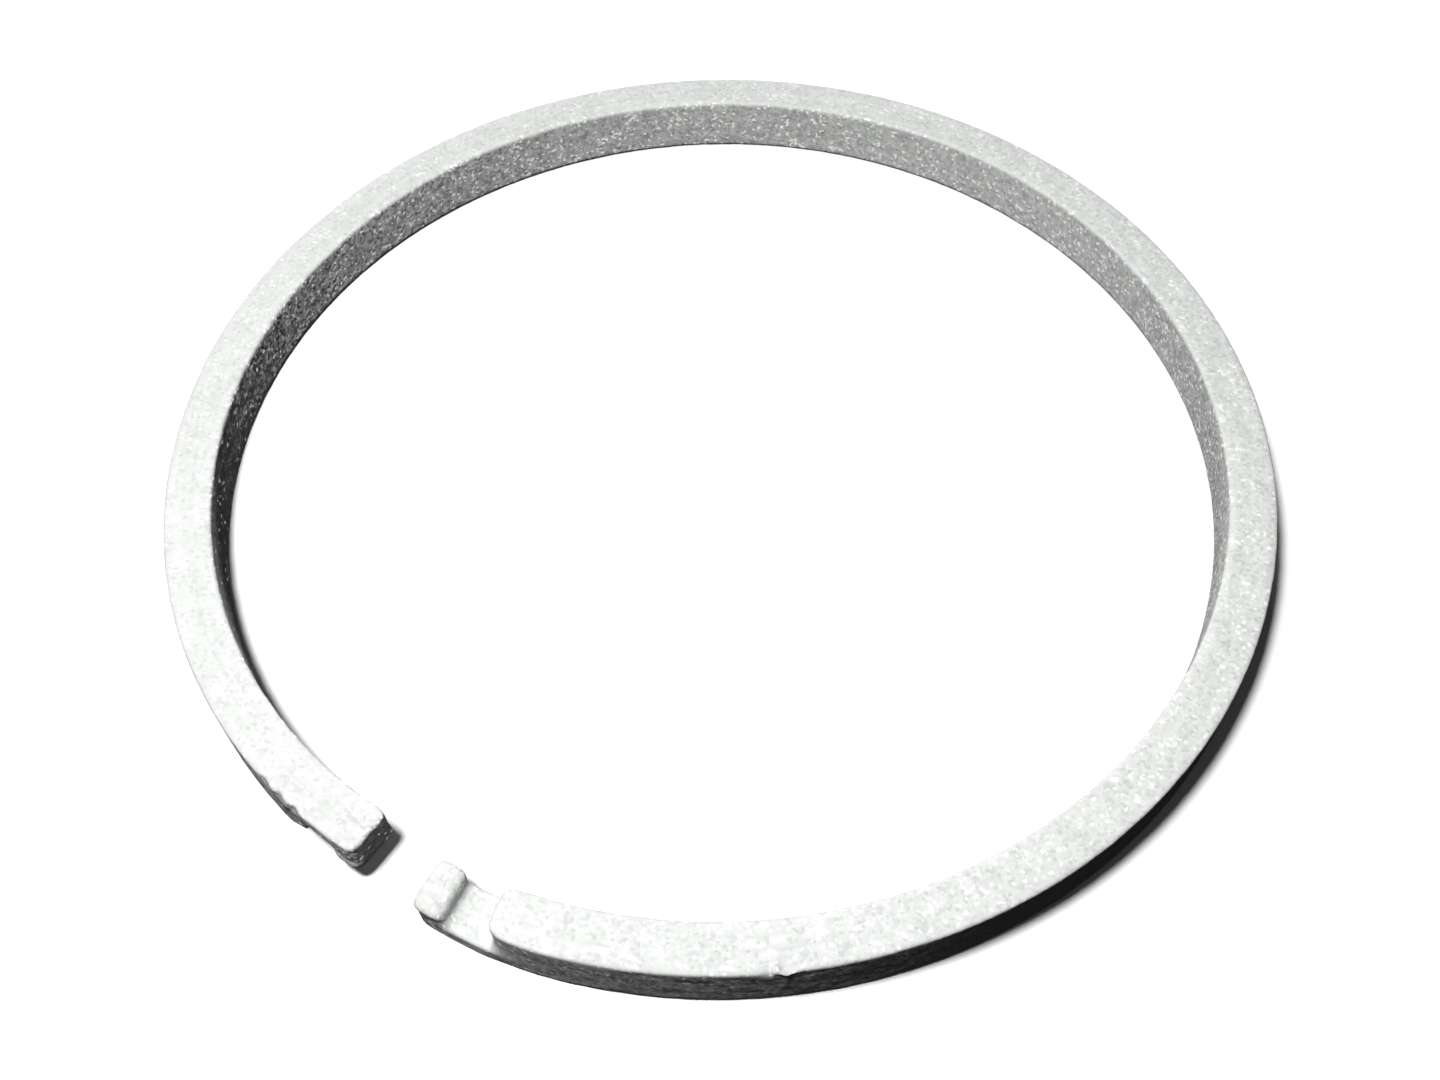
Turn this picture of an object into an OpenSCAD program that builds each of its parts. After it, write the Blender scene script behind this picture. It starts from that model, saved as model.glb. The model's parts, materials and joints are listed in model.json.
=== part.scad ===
// Piston ring with a hook joint, lying sprung open on its lower side face.
// The Z axis is the ring's axis, Z = 0 is the lower side face, and the gap points to -Y.

/* [Ring] */
// Outer diameter of the ring as it lies sprung open
free_diameter = 60; // [44:0.5:90]
// Radial thickness of the section, from the bore to the running face
radial_thickness = 2.5; // [1.8:0.1:4]
// Axial width of the section, from one side face to the other
axial_width = 3.5; // [2.8:0.1:5]
// Radius on the four long edges of the section
edge_radius = 0.25; // [0.1:0.05:0.5]

/* [Hook joint] */
// Clear gap between the two hook tips, along the mean circle
tip_gap = 3.35; // [2:0.05:8]
// Length of the bar that closes each hook, along the ring
bar_length = 1.6; // [1.3:0.1:3]
// Play along the ring when one hook's bar sits in the other hook's notch
hook_play = 0.7; // [0.2:0.1:2]
// Thickness of the tongue that carries each bar
tongue_thickness = 1.15; // [0.8:0.05:1.3]
// Axial clearance between the two hooks when they are engaged
hook_clearance = 0.05; // [0.02:0.01:0.15]
// Radius on the upright corners of the tips, bars and steps
corner_radius = 0.45; // [0.2:0.05:0.6]

/* [Hidden] */
outer_radius = free_diameter / 2;
bore_radius = outer_radius - radial_thickness;
mean_radius = outer_radius - radial_thickness / 2;
// A notch takes the other hook's bar with the play to spare
notch_length = bar_length + hook_play;
hook_length = bar_length + notch_length;
// A bar stops under the other hook's tongue
bar_top = axial_width - tongue_thickness - hook_clearance;
// The corner arcs meet the ring's walls just short of tangent
corner_blend = 0.02;
end_width = radial_thickness + 2 * corner_blend;
// Cutters reach this far past the faces that they cut through
overcut = 1;
cutter_width = radial_thickness + 2 * overcut;
$fn = 180;

// Angle round the axis of a length along the mean circle
function turn(arc) = arc / mean_radius * 180 / PI;

// Rectangle with its lower left corner at the origin and an arc on each corner
module rounded_rectangle(length, width, radius) {
    translate([radius, 0])
        square([length - 2 * radius, width]);
    translate([0, radius])
        square([length, width - 2 * radius]);
    for (x = [radius, length - radius], y = [radius, width - radius])
        translate([x, y])
            circle(radius);
}

// Closed ring with the section's edges rounded
module ring_blank() {
    rotate_extrude()
        translate([bore_radius, 0])
            rounded_rectangle(radial_thickness, axial_width, edge_radius);
}

// Places a plan on the mean circle, at a length along the ring from the right-hand tip.
// There +X runs along the ring, away from the gap, and +Y points to the axis.
module along_ring(arc) {
    rotate(turn(tip_gap / 2 + arc))
        translate([0, -mean_radius])
            children();
}

// Plan of a piece of the ring that starts at X = 0, with its upright corners rounded
module rounded_plan(length) {
    translate([0, -end_width / 2])
        rounded_rectangle(length, end_width, corner_radius);
}

// Plan of what is cut off in front of X = 0, to leave a rounded end there
module end_cut(reach) {
    difference() {
        translate([-reach, -cutter_width / 2])
            square([reach + corner_radius, cutter_width]);
        rounded_plan(4 * corner_radius);
    }
}

// Plan of what is cut off from the step of a hook to past its tip
module step_cut() {
    along_ring(hook_length)
        end_cut(hook_length + tip_gap / 2);
}

// Plan of a bar, carried on past the tip so that only its back is shaped here
module bar_plan() {
    along_ring(0)
        translate([-tip_gap / 2 - overcut, 0])
            rounded_plan(tip_gap / 2 + overcut + bar_length);
}

// Everything cut away to make the right-hand end into a hook that opens upwards
module hook_cut() {
    translate([0, 0, -overcut])
        linear_extrude(axial_width + 2 * overcut)
            along_ring(0)
                end_cut(tip_gap / 2 + overcut / 2);
    translate([0, 0, tongue_thickness])
        linear_extrude(axial_width)
            difference() {
                step_cut();
                bar_plan();
            }
    translate([0, 0, bar_top])
        linear_extrude(axial_width)
            step_cut();
}

// Turns a cutter over about the line from the axis through the gap, on to the other end
module turned_over() {
    translate([0, 0, axial_width])
        rotate([0, 180, 0])
            children();
}

// The ring: one turned and slit casting whose two ends are the same hook, one of them turned over
module piston_ring() {
    color("silver")
        difference() {
            ring_blank();
            hook_cut();
            turned_over()
                hook_cut();
        }
}

piston_ring();
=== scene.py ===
# %% [markdown]
# # A piston ring with a hook joint
# The object is one piece: a ring of grey cast iron, slit once, that lies sprung open on a table.
# Each end of it is a hook, and the two hooks catch when the ring is pressed into its cylinder.
# Its construction is ready as a solid model, which is loaded first and is never changed.
# This lesson models the same ring again with the soft edges, the nicks and the grainy skin
# of the real one, gives it its finish, lights it, and points a camera at it.

# %% Load the solid model
import json
import math

import bmesh
import bpy
from mathutils import Matrix, Vector


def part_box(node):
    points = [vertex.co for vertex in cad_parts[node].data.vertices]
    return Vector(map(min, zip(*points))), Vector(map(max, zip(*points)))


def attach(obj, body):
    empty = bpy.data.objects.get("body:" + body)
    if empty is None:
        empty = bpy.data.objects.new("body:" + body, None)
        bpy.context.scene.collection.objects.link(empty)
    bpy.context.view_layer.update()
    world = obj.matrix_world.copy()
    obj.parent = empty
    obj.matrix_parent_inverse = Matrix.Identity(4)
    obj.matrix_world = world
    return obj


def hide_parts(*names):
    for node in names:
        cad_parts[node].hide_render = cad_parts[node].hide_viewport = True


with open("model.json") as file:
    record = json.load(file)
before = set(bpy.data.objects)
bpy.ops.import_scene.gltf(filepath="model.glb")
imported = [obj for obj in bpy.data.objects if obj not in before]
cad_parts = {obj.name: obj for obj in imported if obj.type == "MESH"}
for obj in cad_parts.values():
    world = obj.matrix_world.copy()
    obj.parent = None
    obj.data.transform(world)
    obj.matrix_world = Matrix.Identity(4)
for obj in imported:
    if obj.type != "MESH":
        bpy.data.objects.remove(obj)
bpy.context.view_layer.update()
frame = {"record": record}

# %% [markdown]
# ## The sizes
# A ring's section is given by three sizes: the radius of its running face, which slides on the
# cylinder, the radius of its bore, and its width along the axis. All three can be read from the
# loaded model, so they are not typed in again. Lengths are in millimetres while the ring is
# modelled, because that is how such a part is drawn, and it is scaled to metres at the end.
# The hooks have the solid model's sizes: a bar that stands on a tongue, and a notch behind it that
# takes the other hook's bar. Softening will shorten each tip a little, so it gets that to spare.

# %% Read the section from the loaded model
MM = 0.001
mounts = {mount["name"]: mount for mount in frame["record"]["mounts"]}
outer_radius = mounts["running_face"]["dims"]["r_mm"]
bore_radius = mounts["inner_bore"]["dims"]["r_mm"]
lowest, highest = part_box("piston_ring")
width = (highest.z - lowest.z) / MM
thickness = outer_radius - bore_radius
mean_radius = (outer_radius + bore_radius) / 2
print("section", round(thickness, 3), "by", round(width, 3), "mm, outer radius", outer_radius, "mm")

# %% Set the sizes of the hooks
tip_gap = 3.35
tip_spare = 0.075
hook_bar = 1.6
notch = 2.3
tongue = 1.15
bar_top = 2.3
length = 2 * math.pi * mean_radius - tip_gap + 2 * tip_spare
tip = length / 2
bar_back = tip - tip_spare - hook_bar
step = bar_back - notch
print("straightened length", round(length, 2), "mm, hooks", hook_bar + notch, "mm long")

# %% [markdown]
# ## The straight bar
# The real ring is turned from a hollow casting and slit, and its hooks are milled. Hooks on a
# curved ring are awkward to model, because none of their walls lie along an axis. So the ring
# is modelled straightened out, as a bar along X with its outer side towards +Y, and bent round
# at the end. On a straight bar each hook is three extrusions. The bar is a cube stretched to
# the length between the hooks, cut at the two levels where the hooks' tongues begin.

# %% Add the bar
bpy.ops.object.select_all(action="DESELECT")
bpy.ops.mesh.primitive_cube_add(size=1, location=(0, 0, width / 2))
ring = bpy.context.object
ring.name = "hook_ring"
ring.data.name = "hook_ring"
bpy.ops.transform.resize(value=(2 * step, thickness, width))
bpy.ops.object.transform_apply(location=True, rotation=True, scale=True)


def cut_across(axis, places):
    """Cut the whole bar with planes square to an axis, at these places along it."""
    bpy.ops.object.mode_set(mode="EDIT")
    for place in places:
        bpy.ops.mesh.select_all(action="SELECT")
        bpy.ops.mesh.bisect(plane_co=axis * place, plane_no=axis)


along = Vector((1, 0, 0))
outwards = Vector((0, 1, 0))
up = Vector((0, 0, 1))
cut_across(up, (tongue, width - tongue))
bpy.ops.object.mode_set(mode="OBJECT")
print("bar with", len(ring.data.polygons), "faces")

# %% [markdown]
# ## The hooks
# The end at +X gets a hook that opens upwards: a thin tongue at the bottom, and a short bar that
# stands up at the tip. The end at -X gets the same hook turned over. Boolean cuts would do too,
# but extruding the end face keeps every face a clean rectangle, which the next steps rely on.
# Faces are picked in code by their normal and their middle, as they would be with the mouse.

# %% Extrude a hook from each end
# A face looks along an axis when at least this share of its normal does
straight_on = 0.9


def pick(kind, wanted):
    """In edit mode, select the faces, edges or vertices of the ring for which wanted() is true."""
    bpy.ops.object.mode_set(mode="EDIT")
    bpy.ops.mesh.select_mode(type=kind)
    bpy.ops.mesh.select_all(action="DESELECT")
    mesh = bmesh.from_edit_mesh(ring.data)
    items = {"FACE": mesh.faces, "EDGE": mesh.edges, "VERT": mesh.verts}[kind]
    chosen = [item for item in items if wanted(item)]
    for item in chosen:
        item.select_set(True)
    mesh.select_flush_mode()
    bmesh.update_edit_mesh(ring.data)
    return len(chosen)


def extrude(move):
    """Extrude what is selected by this move."""
    bpy.ops.mesh.extrude_region_move(TRANSFORM_OT_translate={"value": move})


for side in (1, -1):
    level = tongue if side > 0 else width - tongue

    def tongue_end(face):
        on_tongue = (face.calc_center_median().z - level) * side < 0
        return on_tongue and face.normal.x * side > straight_on

    def bar_seat(face):
        past_notch = face.calc_center_median().x * side > bar_back
        return past_notch and face.normal.z * side > straight_on

    pick("FACE", tongue_end)
    extrude(along * side * notch)
    extrude(along * side * (tip - bar_back))
    pick("FACE", bar_seat)
    extrude(up * side * (bar_top - tongue))
bpy.ops.object.mode_set(mode="OBJECT")
print("bar with two hooks:", len(ring.data.polygons), "faces")

# %% [markdown]
# ## Soft edges
# Every edge of the real ring is rounded, and those of the hooks most. A bevel pinches where a
# rounded corner stands on a rounded tongue. A subdivision surface has no such trouble: it rounds
# all edges at once, and cuts that run beside an edge hold it. The closer a holding cut is to its
# edge, the smaller the radius there, which is about half that distance. A bar is so short that
# one cut through its middle serves both of its edges.

# %% Cut the holding loops
# How far from its edge each kind of holding cut runs, in mm
side_hold = 0.7
edge_hold = 0.3
foot_hold = 0.8
corner_hold = 1.0
bar_middle = (bar_back + tip) / 2
cut_across(outwards, (side_hold - thickness / 2, thickness / 2 - side_hold))
cut_across(up, (width / 2,))
for level in (edge_hold, tongue - edge_hold):
    cut_across(up, (level, width - level))
for place in (step - corner_hold, step + foot_hold, bar_back - foot_hold, bar_middle):
    cut_across(along, (place, -place))
bpy.ops.object.mode_set(mode="OBJECT")
print("cage of the hooks:", len(ring.data.polygons), "faces")

# %% [markdown]
# ## Steps, feet and bars
# Some radii are larger than the cuts give. The photograph shows a wide curve on the outer corner
# of a step, and a fillet that leads from the tongue up into the back of a bar. So those points of
# the cage are moved: a corner's towards the inside of the ring, and a foot's up and away from the
# tip. Rounding also takes the fullness out of a bar's end, which is given back by spreading its
# points across the ring and raising those in the middle.

# %% Round the steps and the feet
# Points closer than this, in mm, are at the same place
same_place = 0.001
corner_pull = {thickness / 2: 0.2, -thickness / 2: 0.08}
foot_fill = 0.15
for side in (1, -1):
    level = tongue if side > 0 else width - tongue
    for wall, pull in corner_pull.items():

        def on_corner(vert):
            at_corner = abs(vert.co.x - side * step) + abs(vert.co.y - wall) < same_place
            return at_corner and (vert.co.z - level) * side > same_place

        pulled = pick("VERT", on_corner)
        bpy.ops.transform.translate(value=(-side * pull, math.copysign(pull, -wall), 0))

    def in_foot(vert):
        return abs(vert.co.z - level) + abs(vert.co.x - side * bar_back) < same_place

    shifted = pick("VERT", in_foot)
    bpy.ops.transform.translate(value=(up - along) * side * foot_fill)
bpy.ops.object.mode_set(mode="OBJECT")
print("each corner of a step:", pulled, "points pulled in, and", shifted, "points of a bar's foot shifted")

# %% Fill out and crown the bars
bar_swell = (1, 1.14, 1)
crown = 0.2
for side in (1, -1):
    bar_end = bar_top if side > 0 else width - bar_top

    def on_bar_end(vert):
        return abs(vert.co.z - bar_end) < same_place and vert.co.x * side > bar_back - same_place

    def on_crown(vert):
        return on_bar_end(vert) and abs(vert.co.y) < thickness / 2

    swollen = pick("VERT", on_bar_end)
    bpy.ops.transform.resize(value=bar_swell)
    crowned = pick("VERT", on_crown)
    bpy.ops.transform.translate(value=up * side * crown)
bpy.ops.object.mode_set(mode="OBJECT")
print(swollen, "points of a bar's end spread and", crowned, "of them raised")

# %% [markdown]
# ## Short lengths
# The bar will be bent round, and a mesh can only bend where it has points. The body between the
# hooks is still one long box, so its long edges are divided all at once, into cells of about a
# millimetre. The subdivision surface divides them further, so more would only make the file larger.

# %% Cut the body into short lengths
cell_length = 1.0
body_end = step - corner_hold
cells = round(2 * body_end / cell_length)
long_edges = pick("EDGE", lambda edge: edge.calc_length() > body_end)
bpy.ops.mesh.subdivide(number_cuts=cells - 1)
bpy.ops.object.mode_set(mode="OBJECT")
print(long_edges, "long edges in", cells, "cells each, cage of", len(ring.data.polygons), "faces")

# %% [markdown]
# ## Ends that turn in
# A ring that has been sprung open is never a true circle. In the photograph both ends turn in
# towards the axis: the one at -X by nearly 0.5 mm, and less and less over 20 mm, and the one at +X by
# half of that, over its hook alone. Proportional editing does just that: an end face is moved, and
# what is near it follows. The sharp falloff drops with the square of the distance, and it fits
# what can be measured along the real edges.

# %% Turn the ends in
# How far each end turns in, and how far along the bar that reaches, in mm
turns = {-tip: (0.46, 20), tip: (0.28, 7)}
for end, (turned_in, reach) in turns.items():
    pick("VERT", lambda vert: abs(vert.co.x - end) < same_place)
    bpy.ops.transform.translate(value=-outwards * turned_in, use_proportional_edit=True,
                                proportional_edit_falloff="SHARP", proportional_size=reach)
    bpy.ops.object.mode_set(mode="OBJECT")
    across_end = [vert.co.y for vert in ring.data.vertices if abs(vert.co.x - end) < same_place]
    print("middle of the end now", round((min(across_end) + max(across_end)) / 2, 3), "mm outwards")

# %% [markdown]
# ## Nicks
# The photograph shows a nick in the outer upper edge, a tenth of the way round from the gap: a dent,
# with the iron pushed out into a small lip beside it. A row of chips follows the same edge at the
# other end. They are pushed into the cage: a cut is made on each side of a nick and through it, and
# the point where the middle cut meets the edge is moved in, or out for the lip, and down. A chip
# takes the next point of the wall with it, which makes it steep. The subdivision surface then
# turns all of this into soft dents.

# %% Push the nicks in


def bar_place(degrees_from_gap):
    """Place along the bar of an angle round the ring, counted from the gap, + to the +X end."""
    turn = math.radians(abs(degrees_from_gap))
    return math.copysign(mean_radius * (math.pi - turn), degrees_from_gap)


# Each kind of nick, in mm: half its length, how far in and down it goes, and its height on the wall
dent = (0.25, 0.45, 0.2, 0.0)
lip = (0.35, -0.25, 0.5, 0.0)
chip = (0.45, 0.22, 0.0, edge_hold)
# Where the nicks are, in degrees from the gap
nicks = {36.1: dent, 37.45: lip, -10.6: chip, -12.75: chip, -14.9: chip}
for angle, (half, inwards, down, tall) in nicks.items():
    place = bar_place(angle)
    cut_across(along, (place - half, place, place + half))
    bpy.ops.object.mode_set(mode="OBJECT")
    on_cut = [vert.co for vert in ring.data.vertices if abs(vert.co.x - place) < same_place]
    edge_point = max(on_cut, key=lambda point: point.y + point.z)
    in_nick = {tuple(point) for point in on_cut
               if point.y > edge_point.y - same_place
               and point.z > edge_point.z - tall - same_place}
    hit = pick("VERT", lambda vert: tuple(vert.co) in in_nick)
    bpy.ops.transform.translate(value=-inwards * outwards - down * up)
    print("nick at", angle, "degrees, points moved:", hit)
bpy.ops.object.mode_set(mode="OBJECT")

# %% [markdown]
# ## Casting skin
# Two subdivisions make the surface smooth, and then it is too smooth: an old casting is never
# quite flat. A Displace modifier with a soft cloud texture moves it in and out by a few hundredths
# of a millimetre, which breaks up the line of each edge. The grain itself is far finer, and is
# left to the material.

# %% Subdivide and roughen
soften = ring.modifiers.new("soften", "SUBSURF")
soften.levels = 2
soften.render_levels = 2
bpy.ops.object.modifier_apply(modifier=soften.name)

wave_length = 0.7
wave_height = 0.05
skin_waves = bpy.data.textures.new("casting_skin", "CLOUDS")
skin_waves.noise_scale = wave_length
skin_waves.noise_depth = 2
roughen = ring.modifiers.new("roughen", "DISPLACE")
roughen.texture = skin_waves
roughen.texture_coords = "LOCAL"
roughen.strength = wave_height
roughen.mid_level = 0.5
bpy.ops.object.modifier_apply(modifier=roughen.name)
print("soft bar:", len(ring.data.polygons), "faces, size", [round(side, 3) for side in ring.dimensions])

# %% [markdown]
# ## Bending
# The Simple Deform modifier bends the bar round Z until the line through its middle lies on the
# ring's mean circle. The bar's own coordinates are kept as an attribute first, because streaks
# in the finish run along the bar, and would be hard to follow once it is round. The bent ring is
# then moved so that its axis is the Z axis, with the gap towards -Y, and scaled to metres.

# %% Bend the bar round
places = ring.data.attributes.new("along_bar", "FLOAT_VECTOR", "POINT")
for vertex, place in zip(ring.data.vertices, places.data):
    place.vector = vertex.co

bend = ring.modifiers.new("bend", "SIMPLE_DEFORM")
bend.deform_method = "BEND"
bend.deform_axis = "Z"
bend.angle = -length / mean_radius
bpy.ops.object.modifier_apply(modifier=bend.name)

bpy.ops.transform.translate(value=outwards * mean_radius)
bpy.ops.object.transform_apply(location=True, rotation=True, scale=True)
bpy.ops.transform.resize(value=(MM, MM, MM))
bpy.ops.object.transform_apply(location=True, rotation=True, scale=True)
pick("FACE", lambda face: True)
bpy.ops.mesh.normals_make_consistent(inside=False)
bpy.ops.object.mode_set(mode="OBJECT")
bpy.ops.object.shade_smooth()

# %% Measure the finished ring
measured = bmesh.new()
measured.from_mesh(ring.data)
open_edges = [edge for edge in measured.edges if not edge.is_manifold]
print("ring:", len(measured.faces), "faces,", len(open_edges), "open edges, volume",
      round(measured.calc_volume() / MM ** 3, 1), "cubic mm, size",
      [round(side / MM, 3) for side in ring.dimensions])
measured.free()

# %% [markdown]
# ## The finish: phosphated grey cast iron
# Rings of grey iron are often dipped in a phosphate bath, and from its looks this one was: it is
# pale, matt and grainy, with no metal to be seen. The bath grows a crust of tiny crystals on the
# iron. To the eye they are a dull light grey, and here and there one shows a bright face, or has
# worn through to the iron and glints. A picture of such a skin could be wrapped round the ring, but
# it would stretch at the hooks. Patterns that are worked out at each point of the surface fit any
# shape. They are built from nodes, and one small function adds a node and connects it.

# %% Set up the node helpers


def linear(hex_colour):
    """Turn an sRGB hex colour into the linear colour that the shader takes."""
    values = [int(hex_colour[i:i + 2], 16) / 255 for i in (1, 3, 5)]
    return [v / 12.92 if v <= 0.04045 else ((v + 0.055) / 1.055) ** 2.4 for v in values] + [1]


def add_node(tree, kind, settings=None, **links):
    """Add a node, set its properties and link or set its inputs, named with _ for a space."""
    node = tree.nodes.new(kind)
    for name, value in (settings or {}).items():
        setattr(node, name, value)
    for name, value in links.items():
        socket = node.inputs[int(name[1:])] if name[1:].isdigit() else node.inputs[name.replace("_", " ")]
        if isinstance(value, bpy.types.NodeSocket):
            tree.links.new(value, socket)
        else:
            socket.default_value = value
    return node


print("half grey on a screen is", round(linear("#808080")[0], 3), "of white to the shader")

# %% [markdown]
# ## Mottle and streaks
# From a little way off the grey is uneven: in soft patches about a millimetre wide, and in faint
# streaks that run round the ring, as turning left them. Noise gives both. For the streaks it is
# stretched along the straight bar's own coordinates, which were kept for this.

# %% Make the mottle and the streaks
# To the eye this iron is pale, dull and grainy, with single glints
phosphated_iron = bpy.data.materials.new("phosphated_grey_iron")
phosphated_iron.use_nodes = True
iron = phosphated_iron.node_tree
iron.nodes.clear()
here = add_node(iron, "ShaderNodeTexCoord").outputs["Object"]
along_bar = add_node(iron, "ShaderNodeAttribute", {"attribute_name": "along_bar"}).outputs["Vector"]

mottle_size = 1.2
streak_length = 6.0
streak_width = 0.3
darkest_patch = 0.93
palest_patch = 1.05
mottle = add_node(iron, "ShaderNodeTexNoise", Vector=here, Scale=1 / (mottle_size * MM), Detail=4)
stretch = add_node(iron, "ShaderNodeMapping", Vector=along_bar,
                   Scale=(1 / streak_length, 1 / streak_width, 1 / streak_width))
streaks = add_node(iron, "ShaderNodeTexNoise", Vector=stretch.outputs["Vector"], Scale=1, Detail=2)
patches = add_node(iron, "ShaderNodeMath", {"operation": "ADD"},
                   _0=mottle.outputs["Fac"], _1=streaks.outputs["Fac"])
shade = add_node(iron, "ShaderNodeMapRange", Value=patches.outputs["Value"],
                 From_Min=0.7, From_Max=1.3, To_Min=darkest_patch, To_Max=palest_patch)
print("patches", mottle_size, "mm wide, streaks", streak_length, "by", streak_width, "mm")

# %% [markdown]
# ## Grains
# A Voronoi texture gives the crystals: its cells are the grains, and the colour that it draws for a
# cell picks the grain's tone from a ramp of greys, of which only the last is bright: partly the
# crystals' own pale tone, partly painted glints. The mottle shifts the draw a little, so that bright
# grains come in clumps. A larger shift on the bore gives it more of them there, as painted glints.

# %% Colour the grains
# Real crystals are a few hundredths of a millimetre wide, too fine to show, so they are drawn coarser
grain_size = 0.17
clumping = 0.06
# On the bore more grains are drawn bright: painted glints
painted_glint_shift = 0.04
side_shift = -0.03
# What is special to a wall fades between these depths below it, in mm
fade_start = 0.1
fade_end = 0.3
grains = add_node(iron, "ShaderNodeTexVoronoi", Vector=here, Scale=1 / (grain_size * MM))
grain = add_node(iron, "ShaderNodeSeparateColor", Color=grains.outputs["Color"]).outputs
clumps = add_node(iron, "ShaderNodeMapRange", Value=mottle.outputs["Fac"],
                  From_Min=0.3, From_Max=0.7, To_Min=-clumping, To_Max=clumping)
bar_axes = add_node(iron, "ShaderNodeSeparateXYZ", Vector=along_bar)
glints_painted_on_bore = add_node(iron, "ShaderNodeMapRange", Value=bar_axes.outputs["Y"],
                  From_Min=fade_start - thickness / 2, From_Max=fade_end - thickness / 2,
                  To_Min=painted_glint_shift, To_Max=side_shift)
unevenness = add_node(iron, "ShaderNodeMath", {"operation": "ADD"},
                      _0=glints_painted_on_bore.outputs["Result"], _1=clumps.outputs["Result"])
brightness = add_node(iron, "ShaderNodeMath", {"operation": "ADD"},
                      _0=grain["Red"], _1=unevenness.outputs["Value"])
tones = add_node(iron, "ShaderNodeValToRGB", Fac=brightness.outputs["Value"])
# The last, bright grey is partly the crystals' own tone and partly painted glints
greys = {0.0: "#c9cbc9", 0.2: "#d2d4d2", 0.7: "#d5d7d5", 0.9: "#d8dad7", 0.96: "#e9ebe7"}
while len(tones.color_ramp.elements) < len(greys):
    tones.color_ramp.elements.new(1)
for stop, (place, grey) in zip(tones.color_ramp.elements, greys.items()):
    stop.position = place
    stop.color = linear(grey)
colour = add_node(iron, "ShaderNodeMix", {"data_type": "RGBA", "blend_type": "MULTIPLY"}, _0=1.0,
                  _6=tones.outputs["Color"], _7=shade.outputs["Result"])
print("grains", grain_size, "mm wide in", len(greys), "greys")

# %% [markdown]
# ## Relief
# Light shows a grain by its tilt as much as by its tone. The way across a cell, measured along a
# direction that is the cell's own, makes each grain a small slanted facet, and a bright grain slants
# most. Wider dimples lie under the grains. A Bump node turns these heights into tilts, which costs
# no faces. The running face was ground, so its relief is a third of that of the other faces.

# %% Tilt the grains
dimple_size = 0.6
dimple_height = 1.4
dimple_depth = 0.25
# A cell's random numbers lie round this middle, and without it they would all lean the same way
middle_draw = 0.5
bright_slant = 3.0
skin_relief = 0.3
ground_relief = 0.1
across = add_node(iron, "ShaderNodeVectorMath", {"operation": "SUBTRACT"},
                  _0=here, _1=grains.outputs["Position"])
upturn = add_node(iron, "ShaderNodeMapRange", Value=brightness.outputs["Value"],
                  From_Min=0.93, From_Max=0.97, To_Min=middle_draw, To_Max=bright_slant)
rest = add_node(iron, "ShaderNodeCombineXYZ", X=middle_draw, Y=middle_draw, Z=upturn.outputs["Result"])
lean = add_node(iron, "ShaderNodeVectorMath", {"operation": "SUBTRACT"},
                _0=grains.outputs["Color"], _1=rest.outputs["Vector"])
facet = add_node(iron, "ShaderNodeVectorMath", {"operation": "DOT_PRODUCT"},
                 _0=across.outputs["Vector"], _1=lean.outputs["Vector"])
scatter = add_node(iron, "ShaderNodeMapping", Vector=along_bar,
                   Scale=(1 / dimple_size, 1 / dimple_size, 1 / dimple_height))
dimples = add_node(iron, "ShaderNodeTexNoise", Vector=scatter.outputs["Vector"], Scale=1, Detail=2)
height = add_node(iron, "ShaderNodeMath", {"operation": "MULTIPLY_ADD"},
                  _0=dimples.outputs["Fac"], _1=dimple_depth * MM, _2=facet.outputs["Value"])
ground = add_node(iron, "ShaderNodeMapRange", Value=bar_axes.outputs["Y"],
                  From_Min=thickness / 2 - fade_end, From_Max=thickness / 2 - fade_start,
                  To_Min=skin_relief, To_Max=ground_relief)
tilt = add_node(iron, "ShaderNodeBump", Height=height.outputs["Value"], Distance=1.0,
                Strength=ground.outputs["Result"])
print("relief", skin_relief, "on the skin and", ground_relief, "on the ground running face")

# %% [markdown]
# ## Dullness and glints
# Phosphate is no metal, and its roughness, from 0.4 to 0.7, differs from grain to grain. Its mirror
# gloss is set to none, because the crust swallows it: with gloss, the walls in the shade would
# mirror the white room. The few grains that are worn through are partly metal, and glint. The ground
# running face has none.

# %% Finish the skin
glint = 0.45
first_glint = 0.96
full_glint = 0.985
smoothest = 0.4
roughest = 0.7
sparkle = add_node(iron, "ShaderNodeMapRange", Value=bar_axes.outputs["Y"],
                   From_Min=thickness / 2 - fade_end, From_Max=thickness / 2 - fade_start,
                   To_Min=glint, To_Max=0.0)
flash = add_node(iron, "ShaderNodeMapRange", Value=grain["Green"], From_Min=first_glint,
                 From_Max=full_glint, To_Min=0.0, To_Max=sparkle.outputs["Result"])
dullness = add_node(iron, "ShaderNodeMapRange", Value=grain["Blue"], To_Min=smoothest, To_Max=roughest)
skin = add_node(iron, "ShaderNodeBsdfPrincipled", Base_Color=colour.outputs[2],
                Metallic=flash.outputs["Result"], Roughness=dullness.outputs["Result"],
                Specular_IOR_Level=0.0, Normal=tilt.outputs["Normal"])
add_node(iron, "ShaderNodeOutputMaterial", Surface=skin.outputs["BSDF"])

ring.data.materials.clear()
ring.data.materials.append(phosphated_iron)
print("phosphated iron:", len(iron.nodes), "nodes")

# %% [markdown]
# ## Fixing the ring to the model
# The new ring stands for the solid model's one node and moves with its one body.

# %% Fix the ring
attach(ring, "root")
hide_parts("piston_ring")
print(ring.name, "stands for the solid ring")

# %% [markdown]
# ## Floor and light
# The ring lies on plain white paper under one soft lamp, high above its near side and a little to
# the left, as the photograph's shades tell: the far inner wall is lit, and the left inner wall, the
# near outer wall and the shadow beside it are dark. A second lamp stands behind the ring and lights
# its back, which would be black, and it is so low that it hardly reaches what the photograph shows.
# To the camera the paper is white all over. Round the ring the lamp alone makes it so, which keeps
# the shadow dark, and farther away, where the lamp grows weak, the paper glows by itself. A glint in
# the iron sees the same white paper. Light that bounces meets a much darker paper, which keeps the
# dark walls dark. The room is as white as the far paper, so that the two meet without a line.

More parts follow.
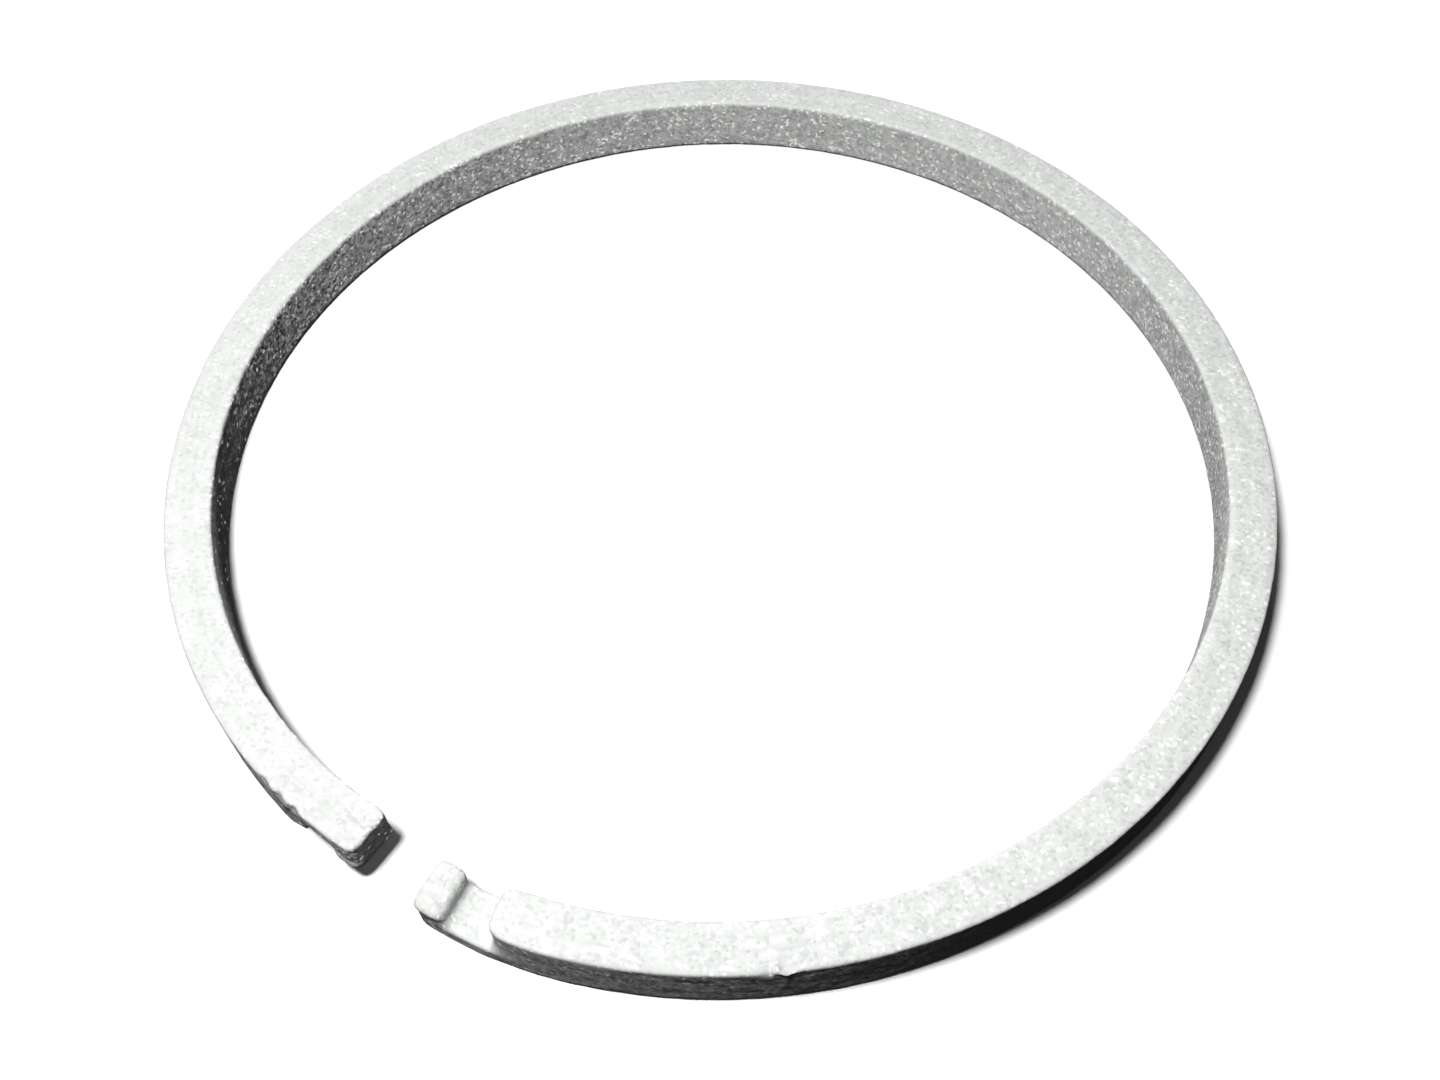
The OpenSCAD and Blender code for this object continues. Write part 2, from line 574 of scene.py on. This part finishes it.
# %% Lay the floor
floor_size = 4.0
floor_height = min(vertex.co.z for vertex in ring.data.vertices)
bpy.ops.object.select_all(action="DESELECT")
bpy.ops.mesh.primitive_plane_add(size=floor_size, location=(0, 0, floor_height))
bpy.ops.object.transform_apply(location=True, rotation=True, scale=True)
floor = bpy.context.object
floor.name = "paper_floor"
print("floor", floor_size, "m square,", round(floor_height / MM, 3), "mm high")

# %% Tell what is seen directly
paper = bpy.data.materials.new("white_paper")
room = bpy.data.worlds.new("white_room")
# Each value is 1 for rays from the camera and for those that a glossy or clear surface sends on, else 0
seen = {}
for surroundings in (paper, room):
    surroundings.use_nodes = True
    tree = surroundings.node_tree
    tree.nodes.clear()
    rays = add_node(tree, "ShaderNodeLightPath").outputs
    mirrored = add_node(tree, "ShaderNodeMath", {"operation": "MAXIMUM"},
                        _0=rays["Is Glossy Ray"], _1=rays["Is Transmission Ray"])
    direct = add_node(tree, "ShaderNodeMath", {"operation": "MAXIMUM"},
                      _0=rays["Is Camera Ray"], _1=mirrored.outputs["Value"])
    seen[surroundings] = direct.outputs["Value"]
print("made", paper.name, "and", room.name)

# %% Make the white paper
# To the eye this paper is evenly white, and dark only in the ring's shadow
seen_paper = "#f4f4f4"
bounced_paper = "#222222"
soft_lamp_place = Vector((-6.6, -46.3, 139.1))
near_glow = 0.02
far_glow = 0.95
glow_start = 45
glow_end = 115
# The lamp is aimed at the ring, so the paper is brightest between the ring's axis and the lamp's foot
brightest_spot = Vector((soft_lamp_place.x, soft_lamp_place.y, 0)) / 2
sheet = paper.node_tree
spot = add_node(sheet, "ShaderNodeTexCoord").outputs["Object"]
far_away = add_node(sheet, "ShaderNodeVectorMath", {"operation": "DISTANCE"},
                    _0=spot, _1=brightest_spot * MM)
own_glow = add_node(sheet, "ShaderNodeMapRange", Value=far_away.outputs["Value"],
                    From_Min=glow_start * MM, From_Max=glow_end * MM, To_Min=near_glow, To_Max=far_glow)
glow = add_node(sheet, "ShaderNodeMath", {"operation": "MULTIPLY"},
                _0=seen[paper], _1=own_glow.outputs["Result"])
grey = add_node(sheet, "ShaderNodeMix", {"data_type": "RGBA"}, _0=seen[paper],
                _6=linear(bounced_paper), _7=linear(seen_paper))
dull_paper = add_node(sheet, "ShaderNodeBsdfPrincipled", Base_Color=grey.outputs[2], Roughness=0.9,
                      Specular_IOR_Level=0.0, Emission_Color=linear("#ffffff"),
                      Emission_Strength=glow.outputs["Value"])
add_node(sheet, "ShaderNodeOutputMaterial", Surface=dull_paper.outputs["BSDF"])
floor.data.materials.append(paper)
print("paper glows by itself from", glow_start, "mm away, and fully from", glow_end, "mm")

# %% Set the lamps
# Each lamp has a place and a width in mm, and a power in watts
lamps = {
    "soft_lamp": (soft_lamp_place, 24, 0.28),
    "back_lamp": (Vector((-183, 238, 26)), 40, 0.47),
}
for name, (place, size, power) in lamps.items():
    lamp_data = bpy.data.lights.new(name, "AREA")
    lamp_data.shape = "DISK"
    lamp_data.size = size * MM
    lamp_data.energy = power
    lamp = bpy.data.objects.new(name, lamp_data)
    bpy.context.scene.collection.objects.link(lamp)
    lamp.location = place * MM
    lamp.rotation_euler = (-place).to_track_quat("-Z", "Y").to_euler()
    lamp.visible_camera = False
    print(name, power, "W,", round(place.length), "mm away")

# %% Light the room
bpy.context.scene.world = room
fill_level = 0.009
fill = add_node(room.node_tree, "ShaderNodeMapRange", Value=seen[room],
                To_Min=fill_level, To_Max=far_glow)
sky = add_node(room.node_tree, "ShaderNodeBackground", Color=linear("#ffffff"),
               Strength=fill.outputs["Result"])
add_node(room.node_tree, "ShaderNodeOutputWorld", Surface=sky.outputs["Background"])
print("fill light", fill_level)

# %% [markdown]
# ## Camera
# The photograph was taken from close by, so the near side of the ring is drawn much larger than
# the far side. Its place, tilt and lens were found by fitting the ring's four edges to the picture.

# %% Point the camera
# Angles are in degrees, and the sensor and the lens in mm
camera_azimuth = 32.85
camera_elevation = 55.7
camera_roll = -1.43
camera_place = Vector((27.73, -43.04, 68.31)) * MM
sensor_width = 36
lens = 37.51
nearest_seen = 1 * MM
farthest_seen = 10
camera_data = bpy.data.cameras.new("camera")
camera_data.sensor_fit = "HORIZONTAL"
camera_data.sensor_width = sensor_width
camera_data.lens = lens
camera_data.clip_start = nearest_seen
camera_data.clip_end = farthest_seen
camera = bpy.data.objects.new("camera", camera_data)
bpy.context.scene.collection.objects.link(camera)
camera.matrix_world = (
    Matrix.Translation(camera_place)
    @ Matrix.Rotation(math.radians(camera_azimuth), 4, "Z")
    @ Matrix.Rotation(math.radians(90 - camera_elevation), 4, "X")
    @ Matrix.Rotation(math.radians(camera_roll), 4, "Z")
)
bpy.context.scene.camera = camera
bpy.context.scene.view_settings.view_transform = "Standard"
print("camera", lens, "mm at", [round(place / MM, 1) for place in camera_place], "mm")
